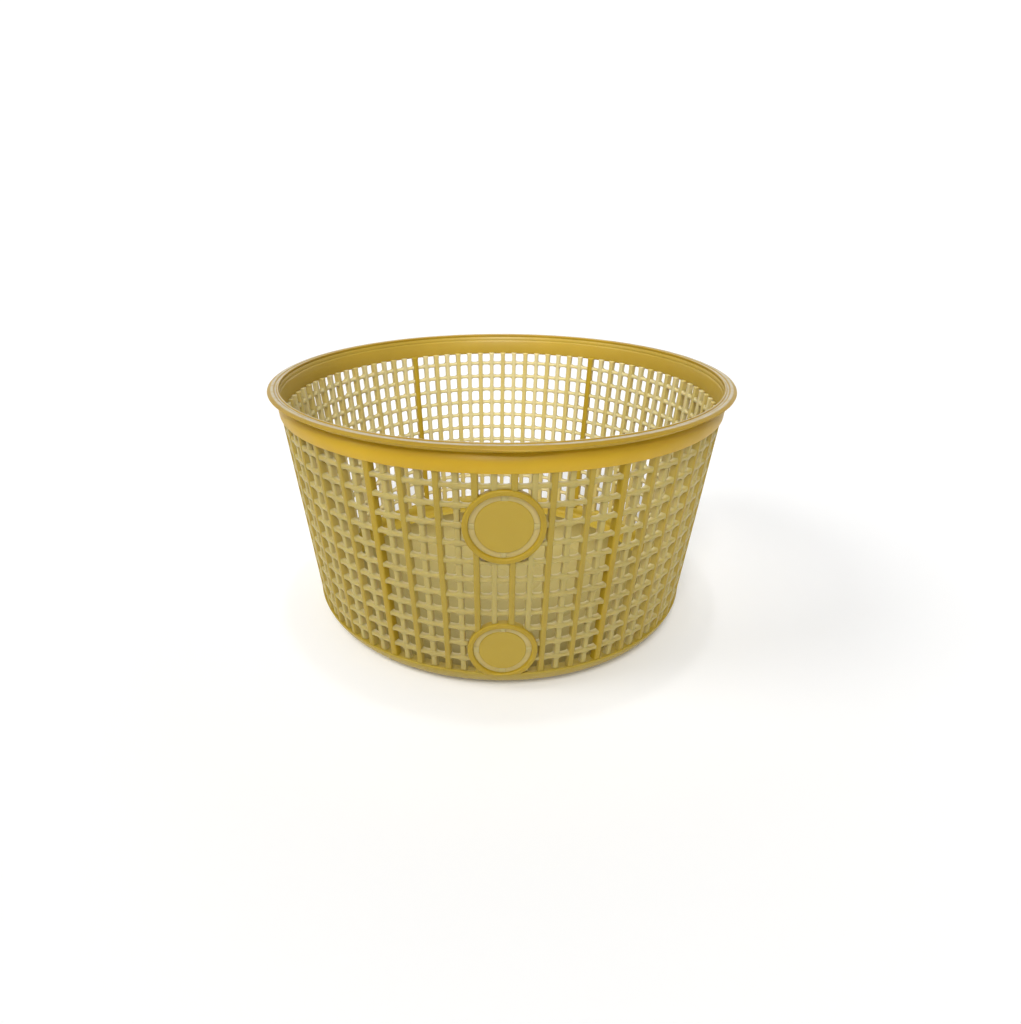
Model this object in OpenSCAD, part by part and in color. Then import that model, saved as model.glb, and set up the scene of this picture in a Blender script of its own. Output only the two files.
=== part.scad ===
// Round moulded mesh basket with a flared lip, a plain band, a mesh wall of
// upright ribs and level hoops, a closed floor and two knock-out ports.
// Origin: centre of the resting face. +Z up, ports on -Y, millimetres.

/* [Overall] */
// Outer diameter of the lip
lip_d = 200; // [165:1:260]
// Height from the resting face to the top of the lip
height = 106; // [85:1:160]
// Radius lost for each millimetre down the wall
wall_taper = 0.096; // [0.05:0.002:0.14]

/* [Rim] */
// How far the lip stands out past the band
lip_overhang = 3.2; // [2:0.1:6]
// Thickness of the flat lip
lip_t = 1.2; // [0.8:0.1:2.5]
// Width of the flat lip, from its inner edge to its outer edge
lip_w = 4.8; // [4:0.1:7]
// Depth of the groove round the top of the lip
lip_groove = 0.25; // [0.1:0.05:0.5]
// Height of the hollow flare under the lip
flare_h = 1.8; // [1.2:0.1:6]
// Height of the plain band
band_h = 7.7; // [4:0.1:16]
// How far the band stands out past the ribs
band_step = 0.3; // [0.1:0.05:1]
// Wall of the band at its lower edge
band_t = 2; // [1.4:0.1:3]
// Height of the upright step inside the lip, from its top
step_h = 2.6; // [1.4:0.1:3]
// Height of the hollow cove inside the band, below the step
cove_h = 6.6; // [4:0.1:10]

/* [Ribs] */
// Number of upright ribs round the wall, counted in pairs of a light and a strong one
rib_pairs = 45; // [36:1:50]
// Width of a light rib
light_w = 2.1; // [1.5:0.1:3]
// Depth of a light rib from its outer face
light_depth = 2.6; // [1.8:0.1:3]
// How far a light rib's outer face lies behind a strong rib's
light_inset = 0.5; // [0.2:0.1:1.2]
// Width of a strong rib
strong_w = 2.4; // [2:0.1:3.4]
// Depth of a strong rib
strong_depth = 3.1; // [2.4:0.1:3.6]
// Width of a heavy rib
heavy_w = 2.8; // [2.4:0.1:4]
// Depth of a heavy rib
heavy_depth = 3.5; // [2.6:0.1:4]

/* [Hoops] */
// Number of level hoops
hoop_count = 11; // [7:1:13]
// Height of a hoop
hoop_h = 1.2; // [0.8:0.1:2.5]
// Depth of a hoop
hoop_depth = 2.5; // [1:0.1:3]
// How far a hoop's outer face lies behind a strong rib's
hoop_inset = 0.6; // [0.4:0.1:1.3]
// Height of the open row above the top hoop
top_row_h = 4.6; // [2:0.1:8]
// Height of the open row below the lowest hoop
low_row_h = 5.6; // [2:0.1:8]

/* [Base] */
// Height of the solid corner round the floor
corner_h = 8.9; // [6:0.1:14]
// Outer radius of the rounded corner
corner_r = 11.1; // [7:0.1:14]
// Thickness of the corner's wall at its top
corner_t = 3.5; // [2.6:0.1:4.5]
// Radius inside the corner, between wall and floor
corner_in_r = 2; // [1:0.1:3]
// Thickness of the floor
floor_t = 2.2; // [1.6:0.1:3.5]
// Height of the foot ring that the floor is raised by
foot_h = 0.8; // [0.4:0.1:2]
// Width of the foot ring
foot_w = 6; // [3:0.5:12]
// Diameter of the gate mark under the floor
gate_d = 7; // [4:0.5:12]
// Height of the gate mark
gate_h = 0.4; // [0.1:0.1:0.4]

/* [Ports] */
// Diameter of the upper port's disc
upper_disc_d = 20.8; // [16:0.2:25]
// Drop from the top of the lip to the middle of the upper port
upper_drop = 31.2; // [29:0.2:36]
// Diameter of the lower port's disc
lower_disc_d = 18.4; // [15:0.2:21]
// Width of the slot round a disc
slot_w = 2; // [1.4:0.1:3]
// Width of the ring round a slot
ring_w = 2.2; // [1.8:0.1:3.5]
// How far the rings stand out past the strong ribs
ring_proud = 0.5; // [0.1:0.1:1]
// Depth of the rings
ring_depth = 3.6; // [2.8:0.1:4.5]
// How far a disc lies behind its ring's face
disc_inset = 1; // [0.6:0.1:2]
// Thickness of a disc
disc_t = 1.6; // [1:0.1:2.5]
// Width of a web that holds a disc
web_w = 2; // [1.2:0.1:3]
// Thickness of a web
web_t = 1.2; // [0.8:0.1:1.6]
// Thickness of the skin that closes a slot
skin_t = 0.5; // [0.3:0.1:0.7]

/* [Hidden] */

ROUND = 180;      // facets of a round shape in the preview
ARC_STEPS = 12;   // points along a fillet or cove
WEB_BITE = 0.4;   // how far a web runs into its disc and its ring
SKIN_BITE = 0.2;  // how far the skin runs into them
SHORT_RIB = 1;    // a rib stump under this length is left out
GATE_ROUND = 48;  // facets of the gate mark in the preview
MARGIN = 1;       // how far a cutting shape runs past what it cuts
gold = [0.74, 0.62, 0.24];
amber = [0.72, 0.56, 0.16];
pale = [0.82, 0.72, 0.42];

lip_r = lip_d / 2;
wall_angle = atan(wall_taper);
lip_z0 = height - lip_t;
flare_z0 = lip_z0 - flare_h;
band_z0 = flare_z0 - band_h;
band_top_r = lip_r - lip_overhang;
lip_in_r = lip_r - lip_w;
lip_bevel = lip_t / 4;
groove_r = lip_r - lip_w / 2;
step_z = height - step_h;
cove_z0 = step_z - cove_h;

// Outer radius of the band, and of the strong ribs, at a height
function band_r(z) = band_top_r - (flare_z0 - z) * wall_taper;
function wall_r(z) = band_r(z) - band_step;
// Inner radius of the rim: straight below the cove, hollowing out up to the step
band_in_r = band_r(band_z0) - band_t;
cove_run = lip_in_r - band_in_r;
function rim_in_r(z) = band_in_r + cove_run * pow(max(0, (z - cove_z0) / cove_h), 2);

// Points of an arc, counter-clockwise from angle a0 to a1
function arc(cx, cy, r, a0, a1) =
    [for (i = [0:ARC_STEPS]) let (a = a0 + (a1 - a0) * i / ARC_STEPS) [cx + r * cos(a), cy + r * sin(a)]];
// Points down the inside of the rim between two heights
function cove(z1, z0) =
    [for (i = [0:ARC_STEPS]) let (z = z1 + (z0 - z1) * i / ARC_STEPS) [rim_in_r(z), z]];

// Ribs stand at half steps from the ports' centre line, strong ones at every other place.
// Heavy ones take four of those places, given as shares of the whole turn.
rib_step = 180 / rib_pairs;
HEAVY_SHARES = [0.07, 0.4, 0.58, 0.91];
heavy_places = [for (share = HEAVY_SHARES) round(share * rib_pairs)];
function heavy(k) = len(search(k, heavy_places)) > 0;

hoop_top_z = band_z0 - top_row_h - hoop_h / 2;
hoop_low_z = corner_h + low_row_h + hoop_h / 2;
hoop_pitch = (hoop_top_z - hoop_low_z) / (hoop_count - 1);
hoop_places = [for (i = [0:hoop_count - 1]) hoop_top_z - i * hoop_pitch];

// Each port: height of its middle, and its ring, slot and disc radii. The lower slot
// reaches down to the solid corner.
function port(z, disc_r) = [z, disc_r + slot_w + ring_w, disc_r + slot_w, disc_r];
upper_port = port(height - upper_drop, upper_disc_d / 2);
lower_port = port(corner_h + lower_disc_d / 2 + slot_w, lower_disc_d / 2);
// Length of a cylinder that passes right through the curved wall at a port
port_cut_h = 6 * ring_depth;
// Radius at which ribs and hoops end, inside the ring's own width
function ring_mid(port) = (port[1] + port[2]) / 2;
// Half height of that circle at a distance x from the port's middle, 0 if it passes beside
function ring_half(port, x) = abs(x) < ring_mid(port) ? sqrt(pow(ring_mid(port), 2) - x * x) : 0;

// Upright stretches that the ports leave of a rib at angle a
function rib_spans(a) = let (
        x = sin(a) * wall_r(upper_port[0]),
        front = cos(a) > 0,
        up = front ? ring_half(upper_port, x) : 0,
        low = front ? ring_half(lower_port, x) : 0,
        cuts = concat(
            [corner_h],
            low > 0 ? [lower_port[0] - low, lower_port[0] + low] : [],
            up > 0 ? [upper_port[0] - up, upper_port[0] + up] : [],
            [band_z0]))
    [for (i = [0:2:len(cuts) - 2]) if (cuts[i + 1] - cuts[i] > SHORT_RIB) [cuts[i], cuts[i + 1]]];

module lathe(points) rotate_extrude($fn = ROUND) polygon(points);

// One straight rib at angle a from the ports' centre line
module rib(a, width, inset, depth)
    for (span = rib_spans(a))
        rotate([0, 0, a - 90]) rotate([90, 0, 0]) linear_extrude(width, center = true) polygon([
            [wall_r(span[0]) - inset - depth, span[0]],
            [wall_r(span[0]) - inset, span[0]],
            [wall_r(span[1]) - inset, span[1]],
            [wall_r(span[1]) - inset - depth, span[1]]
        ]);

// Puts a shape at a port, local Z out of the wall and Z = 0 on the strong ribs' face
module at_port(port)
    translate([0, -wall_r(port[0]), port[0]]) rotate([90 + wall_angle, 0, 0]) children();

// A slice of the mesh wall between two depths, from the corner up to the band
module wall_shell(outer, inner) lathe([
    [wall_r(corner_h) + inner, corner_h],
    [wall_r(corner_h) + outer, corner_h],
    [wall_r(band_z0) + outer, band_z0],
    [wall_r(band_z0) + inner, band_z0]
]);

module port_ring(port) {
    intersection() {
        wall_shell(ring_proud, ring_proud - ring_depth);
        at_port(port) difference() {
            cylinder(r = port[1], h = port_cut_h, center = true, $fn = ROUND);
            cylinder(r = port[2], h = port_cut_h + 2 * MARGIN, center = true, $fn = ROUND);
        }
    }
}

module port_disc(port)
    at_port(port) translate([0, 0, ring_proud - disc_inset - disc_t])
        cylinder(r = port[3], h = disc_t, $fn = ROUND);

// Four webs and the thin skin between them, at half the thickness of the disc
module port_webs(port) {
    length = port[2] - port[3] + 2 * WEB_BITE;
    at_port(port) translate([0, 0, ring_proud - disc_inset - disc_t / 2]) {
        difference() {
            cylinder(r = port[2] + SKIN_BITE, h = skin_t, center = true, $fn = ROUND);
            cylinder(r = port[3] - SKIN_BITE, h = skin_t + 2 * MARGIN, center = true, $fn = ROUND);
        }
        for (a = [0:90:270]) rotate([0, 0, a])
            translate([port[3] - WEB_BITE, -web_w / 2, -web_t / 2])
                cube([length, web_w, web_t]);
    }
}

module rim_lip() color(pale) lathe([
    [lip_in_r, lip_z0],
    [lip_r - lip_bevel, lip_z0],
    [lip_r, lip_z0 + lip_bevel],
    [lip_r, height - lip_bevel],
    [lip_r - lip_bevel, height],
    [groove_r + lip_groove, height],
    [groove_r, height - lip_groove],
    [groove_r - lip_groove, height],
    [lip_in_r, height]
]);

// Hollow quarter under the lip, with the rim's step and the top of its cove inside
module rim_flare() color(amber) lathe(concat(
    [for (p = arc(0, 0, 1, 90, 180))
        [lip_r - lip_bevel + p[0] * (lip_overhang - lip_bevel), flare_z0 + p[1] * flare_h]],
    cove(flare_z0, step_z),
    [[lip_in_r, lip_z0]]
));

module rim_band() color(amber) lathe(concat(
    [[band_top_r, flare_z0]],
    cove(flare_z0, cove_z0),
    [[band_in_r, band_z0], [band_r(band_z0), band_z0]]
));

module heavy_ribs() color(amber)
    for (k = [0:rib_pairs - 1]) if (heavy(k))
        rib((2 * k + 0.5) * rib_step, heavy_w, 0, heavy_depth);

module strong_ribs() color(gold)
    for (k = [0:rib_pairs - 1]) if (!heavy(k))
        rib((2 * k + 0.5) * rib_step, strong_w, 0, strong_depth);

module light_ribs() color(pale)
    for (k = [0:rib_pairs - 1])
        rib((2 * k + 1.5) * rib_step, light_w, light_inset, light_depth);

module wall_hoops() color(pale) difference() {
    for (z = hoop_places) let (z0 = z - hoop_h / 2, z1 = z + hoop_h / 2) lathe([
        [wall_r(z0) - hoop_inset - hoop_depth, z0],
        [wall_r(z0) - hoop_inset, z0],
        [wall_r(z1) - hoop_inset, z1],
        [wall_r(z1) - hoop_inset - hoop_depth, z1]
    ]);
    for (port = [upper_port, lower_port]) at_port(port)
        cylinder(r = ring_mid(port), h = port_cut_h, center = true, $fn = ROUND);
}

// The outer arc runs from the resting face until it meets the slope of the wall
corner_cx = wall_r(corner_r) - corner_r / cos(wall_angle);
corner_in_x = wall_r(corner_h) - corner_t;
module base_corner() color(amber) lathe(concat(
    [for (p = arc(corner_cx, corner_r, corner_r, 270, 360 - wall_angle)) if (p[1] < corner_h - 0.1) p],
    [[corner_cx + sqrt(pow(corner_r, 2) - pow(max(0, corner_r - corner_h), 2)), corner_h]],
    [[corner_in_x, corner_h]],
    arc(corner_in_x - corner_in_r, foot_h + floor_t + corner_in_r, corner_in_r, 360, 270),
    [[corner_cx, foot_h + floor_t]]
));

module base_floor() color(gold) translate([0, 0, foot_h])
    cylinder(r = corner_cx, h = floor_t, $fn = ROUND);

module foot_ring() color(amber) difference() {
    cylinder(r = corner_cx, h = foot_h, $fn = ROUND);
    translate([0, 0, -MARGIN])
        cylinder(r = corner_cx - foot_w, h = foot_h + 2 * MARGIN, $fn = ROUND);
}

module gate_mark() color(amber) translate([0, 0, foot_h - gate_h])
    cylinder(d = gate_d, h = gate_h, $fn = GATE_ROUND);

module upper_port_ring() color(amber) port_ring(upper_port);
module upper_port_disc() color(gold) port_disc(upper_port);
module upper_port_webs() color(gold) port_webs(upper_port);
module lower_port_ring() color(amber) port_ring(lower_port);
module lower_port_disc() color(gold) port_disc(lower_port);
module lower_port_webs() color(gold) port_webs(lower_port);

rim_lip();
rim_flare();
rim_band();
heavy_ribs();
strong_ribs();
light_ribs();
wall_hoops();
base_corner();
base_floor();
foot_ring();
gate_mark();
upper_port_ring();
upper_port_disc();
upper_port_webs();
lower_port_ring();
lower_port_disc();
lower_port_webs();
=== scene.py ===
"""Looks of the moulded mesh basket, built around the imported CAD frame. Lengths are metres."""
import math
import bmesh
import bpy
import numpy as np
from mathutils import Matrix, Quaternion, Vector


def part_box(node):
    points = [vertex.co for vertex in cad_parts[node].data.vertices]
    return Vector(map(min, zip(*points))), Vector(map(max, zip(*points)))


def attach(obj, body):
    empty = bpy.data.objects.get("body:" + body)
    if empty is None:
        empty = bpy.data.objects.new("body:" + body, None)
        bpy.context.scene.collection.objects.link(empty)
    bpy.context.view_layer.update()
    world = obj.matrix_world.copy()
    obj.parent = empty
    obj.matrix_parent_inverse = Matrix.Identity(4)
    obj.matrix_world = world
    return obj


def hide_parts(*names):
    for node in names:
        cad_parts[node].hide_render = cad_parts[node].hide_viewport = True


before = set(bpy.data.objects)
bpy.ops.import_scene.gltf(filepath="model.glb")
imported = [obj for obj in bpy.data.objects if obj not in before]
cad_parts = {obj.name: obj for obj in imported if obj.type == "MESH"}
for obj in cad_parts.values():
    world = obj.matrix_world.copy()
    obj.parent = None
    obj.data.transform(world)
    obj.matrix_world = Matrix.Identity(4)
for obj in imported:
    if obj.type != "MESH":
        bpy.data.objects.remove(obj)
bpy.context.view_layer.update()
MM = 0.001


# ---------------------------------------------------------------- sizes, in millimetres, from the frame
def node_box(node):
    low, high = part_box(node)
    return [c / MM for c in low], [c / MM for c in high]


def top(node):
    return node_box(node)[1][2]


def bottom(node):
    return node_box(node)[0][2]


def radius(node):
    """How far a node reaches from the middle: the outer radius of a ring, or half of a port's width."""
    return node_box(node)[1][0]


TURN = 2 * math.pi
TAPER = 0.096                       # radius lost for each millimetre down the wall
SLOPE = math.atan(TAPER)
LIP_TOP = top("rim_lip")
LIP_LOW = bottom("rim_lip")
LIP_R = radius("rim_lip")
FLARE_LOW = bottom("rim_flare")
BAND_LOW = bottom("rim_band")
BAND_R = radius("rim_band")         # at the flare
WALL_TOP_R = radius("strong_ribs")  # at the foot of the band
CORNER_TOP = top("base_corner")
FLOOR_TOP = top("base_floor")
FLOOR_LOW = bottom("base_floor")
FLOOR_R = radius("base_floor")

RIB_PAIRS = 45
RIB_STEP = 180.0 / RIB_PAIRS
RIB_ROUND = 0.24                    # rounding of a rib's edges, as a share of its width and depth
RIB_SINK = 0.5                      # how far a rib's foot runs down into the corner
HEAD_RUN = 0.7                      # how far a rib's head runs up inside the band
HEAVY_SHARES = (0.07, 0.4, 0.58, 0.91)
HEAVY = [round(share * RIB_PAIRS) for share in HEAVY_SHARES]
HOOPS = 11
HOOP_H = 1.2
HOOP_INSET = 0.6                    # how far a hoop's face is set back from the strong ribs' face
HOOP_DEPTH = 2.5
HOOP_ROUND = 0.25
MEAN_R = 91                         # radius that turns a distance along a hoop into an angle
FILLET_STEPS = (0.0, 1.0, 1.35, 1.75, 2.3)      # distances from the middle of a rib
FILLET_GROW = (0.8, 0.75, 0.45, 0.22, 0.06)     # what a hoop gains there, above and below
HOOP_TOP = top("wall_hoops") - HOOP_H / 2
HOOP_LOW = bottom("wall_hoops") + HOOP_H / 2
HOOP_PITCH = (HOOP_TOP - HOOP_LOW) / (HOOPS - 1)
RING_W = 2.2                        # width of a port's ring
RING_PROUD = 0.5                    # how far a port's ring stands out from the strong ribs' face
RING_DEPTH = 3.1                    # how far it runs in from that face
LIP_W = 4.8
STEP_Z = LIP_TOP - 2.6              # lower end of the upright step inside the lip
COVE_H = 6.6                        # height of the hollow below the step
BAND_T = 2.0                        # wall of the band at its lower edge
CORNER_R = 11.1                     # outer radius of the base's corner
CORNER_T = 3.5                      # wall of the corner at its upper edge
INNER_R = 2                         # inner radius of the corner
FOOT_W = 6
SKIN_LOW, SKIN_TOP = -1.55, -1.05   # the skin in a port's slot, from the strong ribs' face


def wall_r(z):
    """Outer radius of the strong ribs at a height."""
    return WALL_TOP_R - (BAND_LOW - z) * TAPER


def band_r(z):
    """Outer radius of the band at a height."""
    return BAND_R - (FLARE_LOW - z) * TAPER


class Port:
    """A knock-out port: its middle and the radii of its ring, slot and disc."""

    def __init__(self, name):
        low, high = node_box(name + "_port_webs")
        self.name = name
        self.z = (low[2] + high[2]) / 2
        self.ring = radius(name + "_port_ring")
        self.disc = radius(name + "_port_disc")
        self.slot = self.ring - RING_W
        self.mid = (self.ring + self.slot) / 2

    def half(self, x):
        """Half height, at a distance x from the middle, of the circle where ribs and hoops end."""
        return math.sqrt(self.mid ** 2 - x * x) if abs(x) < self.mid else 0.0


UPPER = Port("upper")
LOWER = Port("lower")
PORTS = (UPPER, LOWER)


# ---------------------------------------------------------------- mesh helpers
def add_mesh(name, grids, material, node, smooth=True):
    """One object from grids of points. A grid is (points[u][v], closed in u, closed in v, capped)."""
    verts, faces, base = [], [], 0      # base is the number of points before this grid
    for points, close_u, close_v, capped in grids:
        nu, nv = points.shape[:2]
        verts.append(points.reshape(-1, 3))
        i = np.arange(nu if close_u else nu - 1)
        j = np.arange(nv if close_v else nv - 1)
        i, j = (a.ravel() for a in np.meshgrid(i, j, indexing="ij"))
        i1, j1 = (i + 1) % nu, (j + 1) % nv
        quads = np.stack([i * nv + j, i1 * nv + j, i1 * nv + j1, i * nv + j1], 1) + base
        faces += quads.tolist()
        if capped:
            faces.append([base + k for k in range(nv)])
            faces.append([base + (nu - 1) * nv + k for k in reversed(range(nv))])
        base += nu * nv
    mesh = bpy.data.meshes.new(name)
    mesh.from_pydata((np.concatenate(verts) * MM).tolist(), [], faces)
    mesh.validate()
    mesh.update()
    fix_normals(mesh)
    if smooth:
        mesh.shade_smooth()
    obj = bpy.data.objects.new(name, mesh)
    bpy.context.collection.objects.link(obj)
    mesh.materials.append(material)
    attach(obj, "root")
    if node:
        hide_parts(node)
    return obj


def fix_normals(mesh):
    """Joins the points that meet on an axis, then turns every face outwards."""
    bm = bmesh.new()
    bm.from_mesh(mesh)
    bmesh.ops.remove_doubles(bm, verts=bm.verts, dist=0.001 * MM)
    bmesh.ops.recalc_face_normals(bm, faces=bm.faces)
    bm.to_mesh(mesh)
    bm.free()


def corner_round(points, r, steps=4):
    """Rounds the corners of a closed outline. r is one radius or one for each point."""
    n = len(points)
    radii = [r] * n if np.isscalar(r) else r
    out = []
    for k in range(n):
        p = np.array(points[k], float)
        a = np.array(points[k - 1], float) - p
        b = np.array(points[(k + 1) % n], float) - p
        la, lb = np.linalg.norm(a), np.linalg.norm(b)
        cut = min(radii[k], 0.48 * la, 0.48 * lb)
        if cut < 1e-4:
            out.append(p)
            continue
        pa, pb = p + a / la * cut, p + b / lb * cut
        for s in np.linspace(0, 1, steps + 1):
            out.append((1 - s) ** 2 * pa + 2 * s * (1 - s) * p + s * s * pb)
    return np.array(out)


def lathe_grid(outline, turns=360, shape=None):
    """Turns an outline of (radius, height). shape(angles, r, z) may bend it a little.

    The outline is closed, or runs from the axis to the axis."""
    angle = np.linspace(0, TURN, turns, endpoint=False)
    r = np.repeat(outline[None, :, 0], turns, 0)
    z = np.repeat(outline[None, :, 1], turns, 0)
    if shape:
        r, z = shape(angle[:, None], r, z)
    points = np.stack([r * np.sin(angle)[:, None], -r * np.cos(angle)[:, None], z], -1)
    return points, True, outline[0][0] > 0, False


def bar_outline(width, depth, r=0.5, steps=3):
    """Rounded cross-section: across, and inwards from the outer face."""
    w = width / 2
    return corner_round([(-w, 0), (w, 0), (w, depth), (-w, depth)], r, steps)


# ---------------------------------------------------------------- ribs
def rib_spans(angle):
    """Lower and upper ends of the pieces of one rib: the wall's height, less what the ports take out."""
    x = math.sin(angle) * wall_r(UPPER.z)
    cuts = [CORNER_TOP]
    if math.cos(angle) > 0:
        for port in (LOWER, UPPER):
            half = port.half(x)
            if half > 0:
                cuts += [port.z - half, port.z + half]
    cuts.append(BAND_LOW)
    return [(a, b) for a, b in zip(cuts[::2], cuts[1::2]) if b - a > 1]


def rib_grid(angle, z0, z1, width, inset, depth, rng):
    """One rib: flares where it runs into the band and the corner, and leans a hair off true."""
    foot, head = z0 <= CORNER_TOP + 0.01, z1 >= BAND_LOW - 0.01
    z0, z1 = z0 - (RIB_SINK if foot else 0), z1 + (HEAD_RUN if head else 0)
    ends = np.array([0, 0.5, 1.0, 1.7])
    inner = np.arange(z0 + 2.5, z1 - 1.9, 3.0)
    z = np.concatenate([z0 + ends, inner, z1 - ends[::-1]])
    z = np.unique(np.round(z, 3))
    outline = bar_outline(1, 1, RIB_ROUND)
    grow = np.zeros_like(z)
    if foot:
        grow += np.clip(1 - (z - z0) / 2.2, 0, 1) ** 2 * 0.8
    if head:
        grow += np.clip(1 - (z1 - z) / 2.2, 0, 1) ** 2 * 1.0
    wave = rng.normal(0, 0.05, 3)
    drift = wave[0] * np.sin(z / 21) + wave[1] * np.sin(z / 9 + 1)
    w = width + grow + wave[2]
    across = outline[None, :, 0] * w[:, None] + drift[:, None]
    deep = outline[None, :, 1] * depth + inset
    deep[0] += 0.35 if foot else 0
    r = wall_r(z)[:, None] - deep
    s, c = math.sin(angle), math.cos(angle)
    level = np.repeat(z[:, None], r.shape[1], 1)
    points = np.stack([r * s + across * c, -r * c + across * s, level], -1)
    return points, False, True, True


def rib_angles(kind):
    """Where the ribs of one kind stand: a strong or heavy one, then a light one, all the way round."""
    for k in range(RIB_PAIRS):
        if kind == "light":
            yield math.radians((2 * k + 1.5) * RIB_STEP)
        elif (k in HEAVY) == (kind == "heavy"):
            yield math.radians((2 * k + 0.5) * RIB_STEP)


def make_ribs(kind, width, inset, depth, material):
    rng = np.random.default_rng({"light": 3, "strong": 5, "heavy": 7}[kind])
    grids = [rib_grid(a, z0, z1, width, inset, depth, rng)
             for a in rib_angles(kind) for z0, z1 in rib_spans(a)]
    return add_mesh(kind + "_rib_bars", grids, material, kind + "_ribs")


# ---------------------------------------------------------------- hoops
def hoop_angles():
    """Angles round a hoop, closest together beside the ribs, with the fillet there."""
    turns, fillets = [], []
    for k in range(2 * RIB_PAIRS):
        a = (k + 0.5) * RIB_STEP
        for step, grow in zip(FILLET_STEPS[:0:-1], FILLET_GROW[:0:-1]):
            turns.append(a - math.degrees(step / MEAN_R))
            fillets.append(grow)
        for step, grow in zip(FILLET_STEPS, FILLET_GROW):
            turns.append(a + math.degrees(step / MEAN_R))
            fillets.append(grow)
    return np.radians(turns), np.array(fillets)


def hoop_grids(z, rng):
    """One hoop, a hair off level, with a gap where a port's ring stands in its way."""
    angle, grow = hoop_angles()
    face, back = -HOOP_INSET, -HOOP_INSET - HOOP_DEPTH
    outline = corner_round([(face, -0.5), (face, 0.5), (back, 0.5), (back, -0.5)], HOOP_ROUND, 1)
    waves = rng.normal(0, 0.05, 4)
    slow = waves[0] * np.sin(2 * angle + 9 * waves[1])
    quick = waves[2] * np.sin(5 * angle + 9 * waves[3])
    level = z + slow + quick
    half = HOOP_H / 2 + grow
    height = outline[None, :, 1] * 2 * half[:, None] + level[:, None]
    r = wall_r(height) + outline[None, :, 0]
    points = np.stack([r * np.sin(angle)[:, None], -r * np.cos(angle)[:, None], height], -1)
    cut = 0.0
    for port in PORTS:
        if abs(z - port.z) < port.mid - 0.3:
            cut = max(cut, math.asin(port.half(z - port.z) / wall_r(z)))
    if cut == 0:
        return [(points, True, True, False)]
    keep = (angle > cut) & (angle < TURN - cut)
    return [(points[keep], False, True, True)]


def make_hoops(material):
    rng = np.random.default_rng(11)
    grids = []
    for k in range(HOOPS):
        grids += hoop_grids(HOOP_TOP - k * HOOP_PITCH, rng)
    return add_mesh("hoop_rings", grids, material, "wall_hoops")


# ---------------------------------------------------------------- rim
def smooth_noise(angle, seed, terms, size, lowest=2):
    """A sum of sines round the rim, the same each run. lowest is the first number of waves."""
    rng = np.random.default_rng(seed)
    total = np.zeros_like(angle)
    for n in range(lowest, lowest + terms):
        height = rng.normal(0, 1) / n ** 0.7
        total = total + height * np.sin(n * angle + rng.uniform(0, 6.3))
    return size * total


def bump_at(angle, middle, half_width):
    """1 at the middle angle in degrees, falling smoothly to 0 at the half width."""
    away = (np.degrees(angle) - middle + 180) % 360 - 180
    return np.clip(1 - (away / half_width) ** 2, 0, 1) ** 2


def make_lip(material):
    """Flat lip with a rolled-over outer edge and a fine raised bead along its inner edge."""
    outer, inner = LIP_R - 0.05, LIP_R - LIP_W
    under = [(inner, LIP_LOW), (outer - 0.3, LIP_LOW)]
    roll = [(outer, LIP_LOW + 0.2), (outer - 0.1, LIP_LOW + 0.45), (outer - 1.5, LIP_TOP - 0.12)]
    groove = [(inner + 2.2, LIP_TOP - 0.1), (inner + 1.6, LIP_TOP - 0.4), (inner + 0.9, LIP_TOP - 0.4)]
    bead = [(inner + 0.7, LIP_TOP - 0.03), (inner + 0.2, LIP_TOP - 0.03), (inner, LIP_TOP - 0.3)]
    rounding = [0.1, 0.2, 0.2, 0.3, 0.4, 0.3, 0.3, 0.2, 0.2, 0.2, 0.2]
    outline = corner_round(under + roll + groove + bead, rounding, 3)

    def wear(angle, r, z):
        """Small nicks along the outer edge, and one place near the front where the lip droops."""
        outward = np.clip((r - (LIP_R - 2.5)) / 2.5, 0, 1)
        nick = smooth_noise(angle, 21, 40, 0.03, 6) * outward
        droop = bump_at(angle, 3.3, 10) * 0.65 * outward ** 2
        return np.minimum(r - np.abs(nick), outer), z - droop - 0.3 * np.abs(nick)

    return add_mesh("lip_ring", [lathe_grid(outline, 720, wear)], material, "rim_lip")


def cove_points(z_high, z_low, steps):
    """Down the inside of the rim: upright step, hollow cove, then straight."""
    inner_foot = band_r(BAND_LOW) - BAND_T
    cove_low = STEP_Z - COVE_H
    run = LIP_R - LIP_W - inner_foot
    zs = np.linspace(z_high, z_low, steps)
    hollow = np.clip((zs - cove_low) / COVE_H, 0, 1) ** 2
    return [(inner_foot + run * h, z) for h, z in zip(hollow, zs)]


def make_flare(material):
    """Hollow quarter round from under the lip down to the band, with the upright step inside."""
    outer = LIP_R - 0.4
    hang, rise = outer - BAND_R, LIP_LOW - FLARE_LOW
    quarter = [(outer - hang * math.sin(a), FLARE_LOW + rise * math.cos(a))
               for a in np.linspace(0, math.pi / 2, 10)]
    outline = np.array(quarter + cove_points(FLARE_LOW, STEP_Z, 3) + [(LIP_R - LIP_W, LIP_LOW)])
    return add_mesh("flare_ring", [lathe_grid(outline, 360)], material, "rim_flare")


def make_band(material):
    """Plain band outside, hollow cove inside, with a soft lower edge."""
    edge_z = BAND_LOW + 0.6
    points = [(BAND_R, FLARE_LOW)] + cove_points(FLARE_LOW, edge_z, 9)
    points += [(band_r(BAND_LOW) - 1.9, BAND_LOW), (band_r(BAND_LOW) - 0.1, BAND_LOW)]
    points += [(band_r(edge_z), edge_z)]
    radii = [0.0] * 10 + [0.35, 0.35, 0.35]
    outline = corner_round(points, radii, 3)

    def ripple(angle, r, z):
        """The band is a hair out of round."""
        return r + smooth_noise(angle, 31, 8, 0.03, 2), z

    return add_mesh("band_ring", [lathe_grid(outline, 360, ripple)], material, "rim_band")


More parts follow.
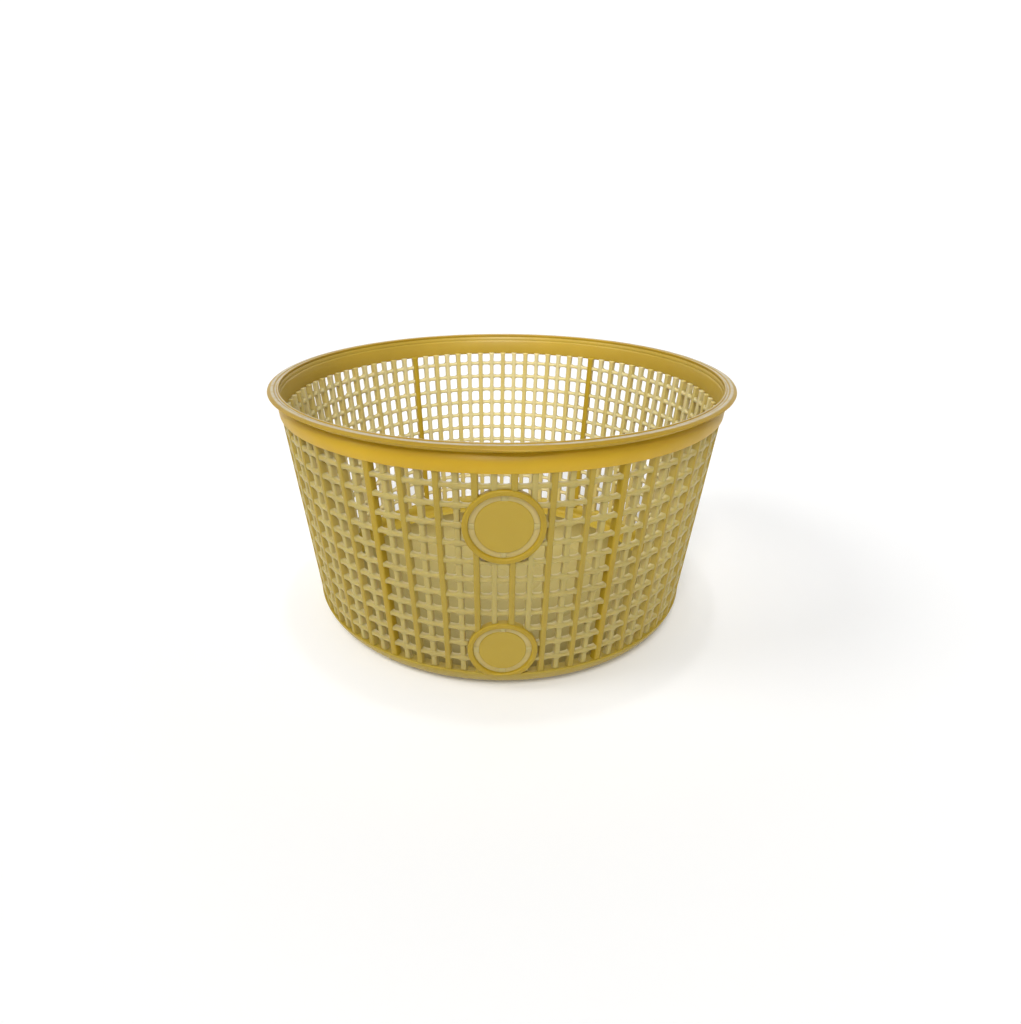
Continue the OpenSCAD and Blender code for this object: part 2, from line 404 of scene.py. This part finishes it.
# ---------------------------------------------------------------- base
def make_corner(material):
    """Solid corner between wall and floor: a round outside and a smaller one inside."""
    r = CORNER_R
    cx = wall_r(r) - r / math.cos(SLOPE)
    last = math.acos(1 - CORNER_TOP / r)
    arc = [(cx + r * math.sin(a), r - r * math.cos(a)) for a in np.linspace(0, last, 14)]
    inner_x = wall_r(CORNER_TOP) - CORNER_T
    inside = [(inner_x - INNER_R * (1 - math.cos(a)), FLOOR_TOP + INNER_R * (1 - math.sin(a)))
              for a in np.linspace(0, math.pi / 2, 7)]
    brim = [(arc[-1][0] - 0.3, CORNER_TOP), (inner_x, CORNER_TOP)]
    outline = np.array(arc + brim + inside + [(cx, FLOOR_TOP)])
    return add_mesh("corner_bowl", [lathe_grid(outline, 360)], material, "base_corner")


def make_floor(material):
    """Closed floor, with a small sunk round in the middle and two faint sunk rings."""
    drops = [(0, 0.3), (4, 0.3), (4.4, 0.02)]                         # radius, and depth below the top
    drops += [(22, 0.1), (22.3, 0.35), (23.2, 0.35), (23.5, 0.1)]
    drops += [(48, 0.05), (48.3, 0.3), (49.2, 0.3), (49.5, 0.05)]
    upper = [(r, FLOOR_TOP - drop) for r, drop in drops] + [(FLOOR_R, FLOOR_TOP)]
    outline = corner_round(upper + [(FLOOR_R, FLOOR_LOW), (0, FLOOR_LOW)],
                           [0] + [0.2] * (len(upper) - 2) + [0, 0, 0], 2)
    return add_mesh("floor_plate", [lathe_grid(outline, 180)], material, "base_floor")


def make_foot(material):
    """Ring that the basket rests on."""
    r, h = radius("foot_ring"), top("foot_ring")
    outline = corner_round([(r - FOOT_W, h), (r - FOOT_W, 0), (r, 0), (r, h)], [0, 0.35, 0.0, 0], 3)
    return add_mesh("foot_band", [lathe_grid(outline, 240)], material, "foot_ring")


def make_gate(material):
    """Gate mark: a low round stub, barely hollow in the middle."""
    r, z0, z1 = radius("gate_mark"), bottom("gate_mark"), top("gate_mark")
    outline = corner_round([(0, z0 + 0.1), (1.2, z0), (r, z0), (r, z1), (0, z1)], [0, 0.2, 0.2, 0, 0], 2)
    return add_mesh("gate_stub", [lathe_grid(outline, 48)], material, "gate_mark")


# ---------------------------------------------------------------- ports
def on_wall(x, up, out, port):
    """A point x across, up from a port's middle and out from the strong ribs' face, on the cone."""
    z = port.z + up
    r = wall_r(z) + out
    a = x / wall_r(z)
    return np.stack([r * np.sin(a), -r * np.cos(a), z + 0 * x], -1)


def round_port(outline, port, lowest=-math.inf):
    """Turns an outline of (radius, out) round a port's middle, and goes no lower than lowest."""
    turn = np.linspace(0, TURN, 96, endpoint=False)
    x = outline[None, :, 0] * np.cos(turn)[:, None]
    up = outline[None, :, 0] * np.sin(turn)[:, None]
    up = np.maximum(up, lowest)
    out = np.repeat(outline[None, :, 1], len(turn), 0)
    return on_wall(x, up, out, port)


def make_port_ring(port, material):
    """Raised ring with well-rounded edges. The base's corner cuts the lower one off."""
    half = (port.ring - port.slot) / 2
    section = corner_round([(-half, -RING_DEPTH), (half, -RING_DEPTH), (half, RING_PROUD),
                            (-half, RING_PROUD)], 0.7, 4)
    points = round_port(section + [port.mid, 0], port, CORNER_TOP - 0.4 - port.z)
    return add_mesh(port.name + "_ring_bead", [(points, True, True, False)],
                    material, port.name + "_port_ring")


def make_port_disc(port, material):
    """Knock-out disc: flat, with a soft edge and a barely dished face."""
    r = port.disc
    face = [(0, -0.56), (r * 0.5, -0.55), (r * 0.85, -0.52), (r - 0.3, -0.5)]
    edge_and_back = [(r, -0.8), (r, -1.8), (r - 0.3, -2.1), (0, -2.1)]
    outline = corner_round(face + edge_and_back, [0, 0, 0, 0.25, 0.25, 0.25, 0.25, 0], 3)
    return add_mesh(port.name + "_disc_face", [(round_port(outline, port), True, False, False)],
                    material, port.name + "_port_disc")


def make_port_webs(port, material):
    """Four webs, and the thin skin that closes the slot between them."""
    grids = []
    rows = 5
    section = corner_round([(-1.0, -1.9), (1.0, -1.9), (1.0, -0.7), (-1.0, -0.7)], 0.3, 2)
    along = np.linspace(port.disc - 0.4, port.slot + 0.4, rows)
    grow = 1 + 0.35 * np.linspace(-1, 1, rows) ** 2
    across = section[None, :, 0] * grow[:, None]
    for quarter in range(4):
        a = quarter * math.pi / 2
        x = along[:, None] * math.cos(a) - across * math.sin(a)
        up = along[:, None] * math.sin(a) + across * math.cos(a)
        out = np.repeat(section[None, :, 1], rows, 0)
        grids.append((on_wall(x, up, out, port), False, True, True))
    inner, outer = port.disc - 0.2, port.slot + 0.2
    shoulder = SKIN_TOP + 0.25
    skin = corner_round([(inner, SKIN_LOW), (outer, SKIN_LOW), (outer, shoulder), (outer - 0.7, SKIN_TOP),
                         (inner + 0.7, SKIN_TOP), (inner, shoulder)], [0.1, 0.1, 0.1, 0.5, 0.5, 0.1], 3)
    grids.append((round_port(skin, port), True, True, False))
    return add_mesh(port.name + "_web_bars", grids, material, port.name + "_port_webs")


# ---------------------------------------------------------------- materials
def plastic(name, light, deep, rough=0.4, glow=0.35, reach=2.5, grain=0.04, shine=0.35, top_light_and_rub=None,
            inside=None):
    """Moulded translucent plastic: cloudy colour, fine grain, soft light inside.

    light and deep are the two tones of the cloud, glow and reach the share and the depth in
    millimetres of the light inside. The next to last argument is a paler colour for the faces that
    look up: painted top light, with fine speckled rubbing. inside is the colour painted on the faces
    that look in towards the middle: paler on the ribs and mesh, painted light shining through them,
    and darker on the rim, painted shade inside the band."""
    mat = bpy.data.materials.new(name)
    mat.use_nodes = True
    nodes, links = mat.node_tree.nodes, mat.node_tree.links
    shader = nodes["Principled BSDF"]
    coords = nodes.new("ShaderNodeTexCoord")

    def noise(scale, detail, roughness=0.5):
        n = nodes.new("ShaderNodeTexNoise")
        n.inputs["Scale"].default_value = scale
        n.inputs["Detail"].default_value = detail
        n.inputs["Roughness"].default_value = roughness
        links.new(coords.outputs["Object"], n.inputs["Vector"])
        return n

    def ramp(source, stops):
        node = nodes.new("ShaderNodeValToRGB")
        for element, (place, colour) in zip(node.color_ramp.elements, stops):
            element.position = place
            element.color = (*colour, 1)
        links.new(source, node.inputs["Fac"])
        return node.outputs["Color"]

    def vector_math(operation, first, second):
        node = nodes.new("ShaderNodeVectorMath")
        node.operation = operation
        links.new(first, node.inputs[0])
        if isinstance(second, tuple):
            node.inputs[1].default_value = second
        else:
            links.new(second, node.inputs[1])
        return node

    def blend(value, start, end, first, second):
        """Mixes two colours as a value runs from start to end."""
        share = nodes.new("ShaderNodeMapRange")
        share.inputs["From Min"].default_value = start
        share.inputs["From Max"].default_value = end
        links.new(value, share.inputs["Value"])
        mix = nodes.new("ShaderNodeMix")
        mix.data_type = "RGBA"
        links.new(share.outputs["Result"], mix.inputs["Factor"])
        links.new(first, mix.inputs["A"])
        links.new(second, mix.inputs["B"])
        return mix.outputs["Result"]

    cloud = noise(28, 4, 0.55)
    colour = ramp(cloud.outputs["Fac"], ((0.36, deep), (0.64, light)))
    surface = nodes.new("ShaderNodeNewGeometry") if top_light_and_rub or inside else None
    # Faces that look up get a paler colour: painted top light, with fine speckled rubbing.
    if top_light_and_rub:
        split = nodes.new("ShaderNodeSeparateXYZ")
        links.new(surface.outputs["Normal"], split.inputs["Vector"])
        top_light_and_rub_mid = [(c + d) / 2 for c, d in zip(top_light_and_rub, light)]
        pale = ramp(noise(220, 4).outputs["Fac"], ((0.3, top_light_and_rub_mid), (0.55, top_light_and_rub)))
        colour = blend(split.outputs["Z"], 0.94, 0.99, colour, pale)
    # Faces that look in towards the middle get the inward colour: painted light shining through the ribs
    # and mesh, painted shade inside the rim.
    if inside:
        level = vector_math("MULTIPLY", surface.outputs["Position"], (1, 1, 0))
        outward = nodes.new("ShaderNodeVectorMath")
        outward.operation = "NORMALIZE"
        links.new(level.outputs["Vector"], outward.inputs[0])
        facing = vector_math("DOT_PRODUCT", surface.outputs["Normal"], outward.outputs["Vector"])
        pale = ramp(cloud.outputs["Fac"], ((0.36, [0.92 * c for c in inside]), (0.64, inside)))
        colour = blend(facing.outputs["Value"], 0.5, -0.6, colour, pale)
    links.new(colour, shader.inputs["Base Color"])

    smear = noise(160, 3)
    spread = nodes.new("ShaderNodeMapRange")
    spread.inputs["To Min"].default_value = rough - 0.06
    spread.inputs["To Max"].default_value = rough + 0.1
    links.new(smear.outputs["Fac"], spread.inputs["Value"])
    links.new(spread.outputs["Result"], shader.inputs["Roughness"])

    fine = noise(1400, 2)
    broad = noise(90, 2)
    relief = nodes.new("ShaderNodeMath")        # three parts broad to one part fine
    relief.operation = "MULTIPLY_ADD"
    relief.inputs[1].default_value = 3.0
    links.new(broad.outputs["Fac"], relief.inputs[0])
    links.new(fine.outputs["Fac"], relief.inputs[2])
    bump = nodes.new("ShaderNodeBump")
    bump.inputs["Strength"].default_value = grain * 4
    bump.inputs["Distance"].default_value = 0.0002
    links.new(relief.outputs["Value"], bump.inputs["Height"])
    links.new(bump.outputs["Normal"], shader.inputs["Normal"])

    shader.inputs["Subsurface Weight"].default_value = glow
    shader.inputs["Subsurface Scale"].default_value = reach * MM
    shader.inputs["Subsurface Radius"].default_value = (1.0, 0.75, 0.25)
    shader.inputs["IOR"].default_value = 1.49
    shader.inputs["Specular IOR Level"].default_value = shine
    return mat


# The lip's own tones are darker than the rim's: painted shade on its outer edge and underside. Its top
# faces get painted top light.
lip_plastic = plastic("lip_plastic", (0.38, 0.24, 0.010), (0.34, 0.21, 0.008),
                      top_light_and_rub=(0.47, 0.41, 0.29))
# The rim's inward colour is darker and less golden: painted shade inside the band.
rim_plastic = plastic("rim_plastic", (0.56, 0.35, 0.010), (0.52, 0.32, 0.008), shine=0.4,
                      inside=(0.46, 0.305, 0.03))
# The inward colours of the ribs and mesh are paler: painted light shining through the thin plastic.
rib_plastic = plastic("rib_plastic", (0.41, 0.29, 0.036), (0.38, 0.27, 0.032),
                      inside=(0.58, 0.47, 0.17))
mesh_plastic = plastic("mesh_plastic", (0.46, 0.37, 0.115), (0.42, 0.33, 0.10),
                       inside=(0.64, 0.55, 0.28))
base_plastic = plastic("base_plastic", (0.42, 0.30, 0.034), (0.38, 0.27, 0.028))
floor_plastic = plastic("floor_plastic", (0.42, 0.34, 0.115), (0.38, 0.305, 0.10))
disc_plastic = plastic("disc_plastic", (0.46, 0.325, 0.036), (0.44, 0.305, 0.032))
ring_plastic = plastic("ring_plastic", (0.42, 0.285, 0.016), (0.39, 0.26, 0.013))
skin_plastic = plastic("skin_plastic", (0.56, 0.45, 0.17), (0.51, 0.405, 0.15))

make_lip(lip_plastic)
make_flare(rim_plastic)
make_band(rim_plastic)
make_ribs("light", 2.1, 0.5, 2.6, mesh_plastic)
make_ribs("strong", 2.3, 0.0, 3.1, rib_plastic)
make_ribs("heavy", 2.7, 0.0, 3.5, ring_plastic)
make_hoops(mesh_plastic)
make_corner(base_plastic)
make_floor(floor_plastic)
make_foot(base_plastic)
make_gate(base_plastic)
for port in PORTS:
    make_port_ring(port, ring_plastic)
    make_port_disc(port, disc_plastic)
    make_port_webs(port, skin_plastic)


# ---------------------------------------------------------------- floor, light, camera
def make_stage():
    """A big pale floor that curves up behind, so that the background has no edge."""
    profile = [(-2.5, 0), (1.2, 0), (1.7, 0.08), (2.1, 0.35), (2.3, 0.8), (2.35, 3.0)]
    verts = [(x, y, z) for x in (-4, 4) for y, z in profile]
    n = len(profile)
    faces = [(i, i + 1, n + i + 1, n + i) for i in range(n - 1)]
    mesh = bpy.data.meshes.new("stage")
    mesh.from_pydata(verts, [], faces)
    mesh.shade_smooth()
    obj = bpy.data.objects.new("stage", mesh)
    bpy.context.collection.objects.link(obj)
    mat = bpy.data.materials.new("stage_white")
    mat.use_nodes = True
    shader = mat.node_tree.nodes["Principled BSDF"]
    shader.inputs["Base Color"].default_value = (0.93, 0.93, 0.93, 1)
    shader.inputs["Emission Color"].default_value = (1, 1, 1, 1)
    shader.inputs["Emission Strength"].default_value = 0.08
    shader.inputs["Roughness"].default_value = 0.9
    shader.inputs["Specular IOR Level"].default_value = 0.1
    mesh.materials.append(mat)


def sun_light(name, place, spread, strength):
    """An even, soft light from the direction of a place; spread is in degrees."""
    lamp = bpy.data.lights.new(name, "SUN")
    lamp.angle = math.radians(spread)
    lamp.energy = strength
    obj = bpy.data.objects.new(name, lamp)
    obj.rotation_euler = (-Vector(place)).to_track_quat("-Z", "Y").to_euler()
    bpy.context.collection.objects.link(obj)


def spot_light(name, place, target, reach, power):
    """A narrow lamp that lifts one part of the inside. reach is half its cone's angle in degrees."""
    lamp = bpy.data.lights.new(name, "SPOT")
    lamp.spot_size = math.radians(2 * reach)
    lamp.spot_blend = 0.4
    lamp.shadow_soft_size = 0.08
    lamp.energy = power
    obj = bpy.data.objects.new(name, lamp)
    obj.location = place
    obj.rotation_euler = (Vector(target) - Vector(place)).to_track_quat("-Z", "Y").to_euler()
    bpy.context.collection.objects.link(obj)


def make_world(strength):
    """Even white light from all round."""
    world = bpy.data.worlds.new("soft_white")
    world.use_nodes = True
    back = world.node_tree.nodes["Background"]
    back.inputs["Color"].default_value = (1, 1, 1, 1)
    back.inputs["Strength"].default_value = strength
    bpy.context.scene.world = world


def make_world_and_lights():
    """Soft white light all round, two wide lamps, and two narrow ones for the inside."""
    make_world(0.40)
    sun_light("key", (-0.12, -0.75, 1.0), 20, 1.45)
    sun_light("side", (-1.0, -0.2, 0.9), 22, 0.8)
    spot_light("mouth", (0, 0, 1.0), (0, 0, 0.1), 5.6, 12)
    spot_light("far_wall", (0, -0.75, 0.75), (0, 0.09, 0.085), 5.8, 28)


CAMERA_AWAY = 293.5 * MM            # from the basket's axis
CAMERA_ABOVE = 67.9 * MM            # above the lip
CAMERA_BEARING = 1.07               # degrees round from the front
CAMERA_YAW = -1.47                  # degrees that it looks past the axis
CAMERA_PITCH = 24.94                # degrees that it looks down
CAMERA_ROLL = -0.22
SENSOR_W = 36
LENS = 23.23125
SHIFT = 0.02607421875               # share of the picture's width


def make_camera():
    """Close to the basket, looking down at it, as a hand-held camera would."""
    bearing, yaw, pitch, roll = (math.radians(a) for a in (CAMERA_BEARING, CAMERA_YAW, CAMERA_PITCH,
                                                           CAMERA_ROLL))
    cam = bpy.data.cameras.new("camera")
    cam.sensor_width = SENSOR_W
    cam.lens = LENS
    cam.shift_x = SHIFT
    obj = bpy.data.objects.new("camera", cam)
    obj.location = (-CAMERA_AWAY * math.sin(bearing), -CAMERA_AWAY * math.cos(bearing),
                    LIP_TOP * MM + CAMERA_ABOVE)
    heading = bearing + yaw
    level = math.cos(pitch)
    forward = Vector((math.sin(heading) * level, math.cos(heading) * level, -math.sin(pitch)))
    obj.rotation_mode = "QUATERNION"
    obj.rotation_quaternion = forward.to_track_quat("-Z", "Y") @ Quaternion((0, 0, 1), roll)
    bpy.context.collection.objects.link(obj)
    bpy.context.scene.camera = obj


make_stage()
make_world_and_lights()
make_camera()
bpy.context.scene.view_settings.view_transform = "Standard"
